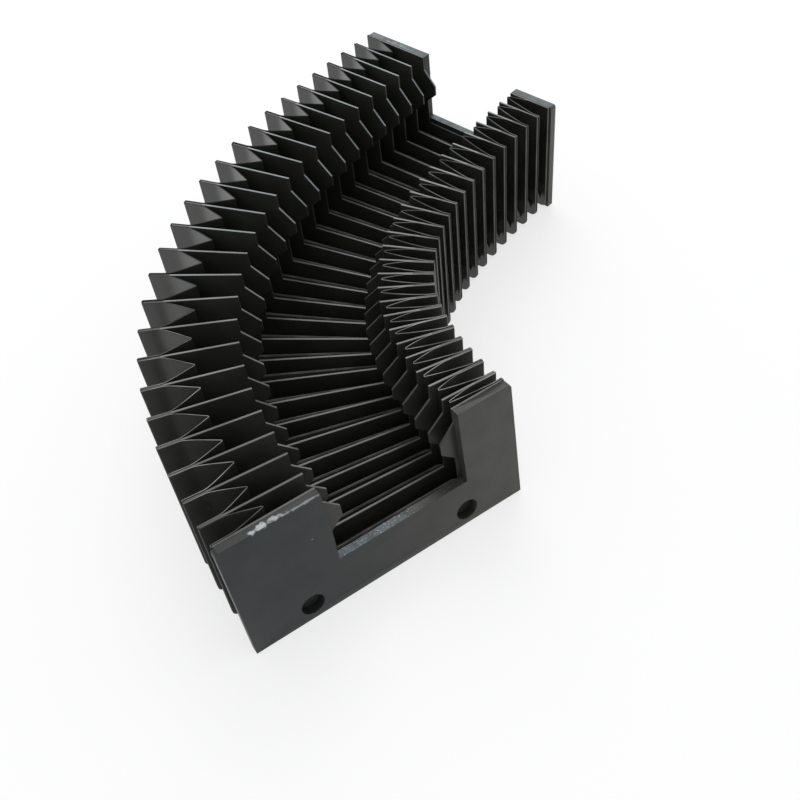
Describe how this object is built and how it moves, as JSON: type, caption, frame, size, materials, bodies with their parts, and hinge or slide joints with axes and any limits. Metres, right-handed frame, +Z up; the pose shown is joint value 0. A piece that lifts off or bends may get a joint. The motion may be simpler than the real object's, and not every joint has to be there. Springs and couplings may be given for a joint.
{
  "type": "bellows way cover",
  "caption": "U-shaped bellows way cover: a pleated cloth over stiff leaves between two drilled end plates, bent to one side, for shielding a linear guide rail.",
  "frame": {"origin": "middle of the cover seen from above, at the table the end plates stand on", "axes": "+Z up, out of the open rail channel; the front end plate faces -Y; the cover runs back from it towards +Y and bends towards +X"},
  "size_m": [0.1348, 0.1372, 0.0318],
  "materials": {
    "end_plate": "satin charcoal sheet",
    "leaf": "satin black sheet",
    "cloth": "coated black weave"
  },
  "bodies": {
    "front_end": {"front_end_plate": "end_plate", "leaf_01": "leaf", "cloth": "cloth"},
    "leaf_02": {"leaf_02": "leaf"},
    "leaf_03": {"leaf_03": "leaf"},
    "leaf_04": {"leaf_04": "leaf"},
    "leaf_05": {"leaf_05": "leaf"},
    "leaf_06": {"leaf_06": "leaf"},
    "leaf_07": {"leaf_07": "leaf"},
    "leaf_08": {"leaf_08": "leaf"},
    "leaf_09": {"leaf_09": "leaf"},
    "leaf_10": {"leaf_10": "leaf"},
    "leaf_11": {"leaf_11": "leaf"},
    "leaf_12": {"leaf_12": "leaf"},
    "leaf_13": {"leaf_13": "leaf"},
    "leaf_14": {"leaf_14": "leaf"},
    "leaf_15": {"leaf_15": "leaf"},
    "leaf_16": {"leaf_16": "leaf"},
    "leaf_17": {"leaf_17": "leaf"},
    "leaf_18": {"leaf_18": "leaf"},
    "leaf_19": {"leaf_19": "leaf"},
    "leaf_20": {"leaf_20": "leaf"},
    "leaf_21": {"leaf_21": "leaf"},
    "leaf_22": {"leaf_22": "leaf"},
    "leaf_23": {"leaf_23": "leaf"},
    "leaf_24": {"leaf_24": "leaf"},
    "leaf_25": {"leaf_25": "leaf"},
    "rear_end": {"leaf_26": "leaf", "rear_end_plate": "end_plate"}
  },
  "joints": [
    {"name": "fold_01", "type": "hinge", "parent": "front_end", "child": "leaf_02", "pos_m": [0.09576, -0.06458, 0], "axis": [0, 0, -1], "range_deg": [-0.74, 0.81], "deforming": ["cloth"]},
    {"name": "fold_02", "type": "hinge", "parent": "leaf_02", "child": "leaf_03", "pos_m": [0.08949, -0.06432, 0], "axis": [0, 0, -1], "range_deg": [-0.81, 0.88], "deforming": ["cloth"]},
    {"name": "fold_03", "type": "hinge", "parent": "leaf_03", "child": "leaf_04", "pos_m": [0.07699, -0.06327, 0], "axis": [0, 0, -1], "range_deg": [-0.92, 1.01], "deforming": ["cloth"]},
    {"name": "fold_04", "type": "hinge", "parent": "leaf_04", "child": "leaf_05", "pos_m": [0.06365, -0.06146, 0], "axis": [0, 0, -1], "range_deg": [-1.07, 1.17], "deforming": ["cloth"]},
    {"name": "fold_05", "type": "hinge", "parent": "leaf_05", "child": "leaf_06", "pos_m": [0.05252, -0.05928, 0], "axis": [0, 0, -1], "range_deg": [-1.24, 1.35], "deforming": ["cloth"]},
    {"name": "fold_06", "type": "hinge", "parent": "leaf_06", "child": "leaf_07", "pos_m": [0.04453, -0.05715, 0], "axis": [0, 0, -1], "range_deg": [-1.39, 1.51], "deforming": ["cloth"]},
    {"name": "fold_07", "type": "hinge", "parent": "leaf_07", "child": "leaf_08", "pos_m": [0.03965, -0.05545, 0], "axis": [0, 0, -1], "range_deg": [-1.5, 1.64], "deforming": ["cloth"]},
    {"name": "fold_08", "type": "hinge", "parent": "leaf_08", "child": "leaf_09", "pos_m": [0.03757, -0.05452, 0], "axis": [0, 0, -1], "range_deg": [-1.56, 1.71], "deforming": ["cloth"]},
    {"name": "fold_09", "type": "hinge", "parent": "leaf_09", "child": "leaf_10", "pos_m": [0.03781, -0.05465, 0], "axis": [0, 0, -1], "range_deg": [-1.57, 1.71], "deforming": ["cloth"]},
    {"name": "fold_10", "type": "hinge", "parent": "leaf_10", "child": "leaf_11", "pos_m": [0.039, -0.05545, 0], "axis": [0, 0, -1], "range_deg": [-1.54, 1.69], "deforming": ["cloth"]},
    {"name": "fold_11", "type": "hinge", "parent": "leaf_11", "child": "leaf_12", "pos_m": [0.04089, -0.05695, 0], "axis": [0, 0, -1], "range_deg": [-1.5, 1.64], "deforming": ["cloth"]},
    {"name": "fold_12", "type": "hinge", "parent": "leaf_12", "child": "leaf_13", "pos_m": [0.04347, -0.05938, 0], "axis": [0, 0, -1], "range_deg": [-1.43, 1.57], "deforming": ["cloth"]},
    {"name": "fold_13", "type": "hinge", "parent": "leaf_13", "child": "leaf_14", "pos_m": [0.04675, -0.06297, 0], "axis": [0, 0, -1], "range_deg": [-1.35, 1.48], "deforming": ["cloth"]},
    {"name": "fold_14", "type": "hinge", "parent": "leaf_14", "child": "leaf_15", "pos_m": [0.05074, -0.06806, 0], "axis": [0, 0, -1], "range_deg": [-1.25, 1.37], "deforming": ["cloth"]},
    {"name": "fold_15", "type": "hinge", "parent": "leaf_15", "child": "leaf_16", "pos_m": [0.05549, -0.07505, 0], "axis": [0, 0, -1], "range_deg": [-1.14, 1.25], "deforming": ["cloth"]},
    {"name": "fold_16", "type": "hinge", "parent": "leaf_16", "child": "leaf_17", "pos_m": [0.0611, -0.08451, 0], "axis": [0, 0, -1], "range_deg": [-1.02, 1.12], "deforming": ["cloth"]},
    {"name": "fold_17", "type": "hinge", "parent": "leaf_17", "child": "leaf_18", "pos_m": [0.06768, -0.09718, 0], "axis": [0, 0, -1], "range_deg": [-0.9, 0.98], "deforming": ["cloth"]},
    {"name": "fold_18", "type": "hinge", "parent": "leaf_18", "child": "leaf_19", "pos_m": [0.07544, -0.11406, 0], "axis": [0, 0, -1], "range_deg": [-0.77, 0.85], "deforming": ["cloth"]},
    {"name": "fold_19", "type": "hinge", "parent": "leaf_19", "child": "leaf_20", "pos_m": [0.0846, -0.13646, 0], "axis": [0, 0, -1], "range_deg": [-0.66, 0.72], "deforming": ["cloth"]},
    {"name": "fold_20", "type": "hinge", "parent": "leaf_20", "child": "leaf_21", "pos_m": [0.09548, -0.16601, 0], "axis": [0, 0, -1], "range_deg": [-0.54, 0.59], "deforming": ["cloth"]},
    {"name": "fold_21", "type": "hinge", "parent": "leaf_21", "child": "leaf_22", "pos_m": [0.10831, -0.2043, 0], "axis": [0, 0, -1], "range_deg": [-0.445, 0.486], "deforming": ["cloth"]},
    {"name": "fold_22", "type": "hinge", "parent": "leaf_22", "child": "leaf_23", "pos_m": [0.12297, -0.25186, 0], "axis": [0, 0, -1], "range_deg": [-0.361, 0.395], "deforming": ["cloth"]},
    {"name": "fold_23", "type": "hinge", "parent": "leaf_23", "child": "leaf_24", "pos_m": [0.13838, -0.30556, 0], "axis": [0, 0, -1], "range_deg": [-0.296, 0.324], "deforming": ["cloth"]},
    {"name": "fold_24", "type": "hinge", "parent": "leaf_24", "child": "leaf_25", "pos_m": [0.1516, -0.35458, 0], "axis": [0, 0, -1], "range_deg": [-0.251, 0.275], "deforming": ["cloth"]},
    {"name": "fold_25", "type": "hinge", "parent": "leaf_25", "child": "rear_end", "pos_m": [0.15797, -0.37957, 0], "axis": [0, 0, -1], "range_deg": [-0.228, 0.25], "deforming": ["cloth"]}
  ],
  "couplings": [
    {"joint": "fold_02", "follows": "fold_01", "ratio": 1.0835},
    {"joint": "fold_03", "follows": "fold_01", "ratio": 1.2378},
    {"joint": "fold_04", "follows": "fold_01", "ratio": 1.4393},
    {"joint": "fold_05", "follows": "fold_01", "ratio": 1.6575},
    {"joint": "fold_06", "follows": "fold_01", "ratio": 1.859},
    {"joint": "fold_07", "follows": "fold_01", "ratio": 2.0133},
    {"joint": "fold_08", "follows": "fold_01", "ratio": 2.0968},
    {"joint": "fold_09", "follows": "fold_01", "ratio": 2.1037},
    {"joint": "fold_10", "follows": "fold_01", "ratio": 2.0731},
    {"joint": "fold_11", "follows": "fold_01", "ratio": 2.0129},
    {"joint": "fold_12", "follows": "fold_01", "ratio": 1.9251},
    {"joint": "fold_13", "follows": "fold_01", "ratio": 1.8128},
    {"joint": "fold_14", "follows": "fold_01", "ratio": 1.6798},
    {"joint": "fold_15", "follows": "fold_01", "ratio": 1.5306},
    {"joint": "fold_16", "follows": "fold_01", "ratio": 1.3703},
    {"joint": "fold_17", "follows": "fold_01", "ratio": 1.2043},
    {"joint": "fold_18", "follows": "fold_01", "ratio": 1.0383},
    {"joint": "fold_19", "follows": "fold_01", "ratio": 0.87803},
    {"joint": "fold_20", "follows": "fold_01", "ratio": 0.72882},
    {"joint": "fold_21", "follows": "fold_01", "ratio": 0.59581},
    {"joint": "fold_22", "follows": "fold_01", "ratio": 0.48352},
    {"joint": "fold_23", "follows": "fold_01", "ratio": 0.39577},
    {"joint": "fold_24", "follows": "fold_01", "ratio": 0.33556},
    {"joint": "fold_25", "follows": "fold_01", "ratio": 0.30493}
  ]
}
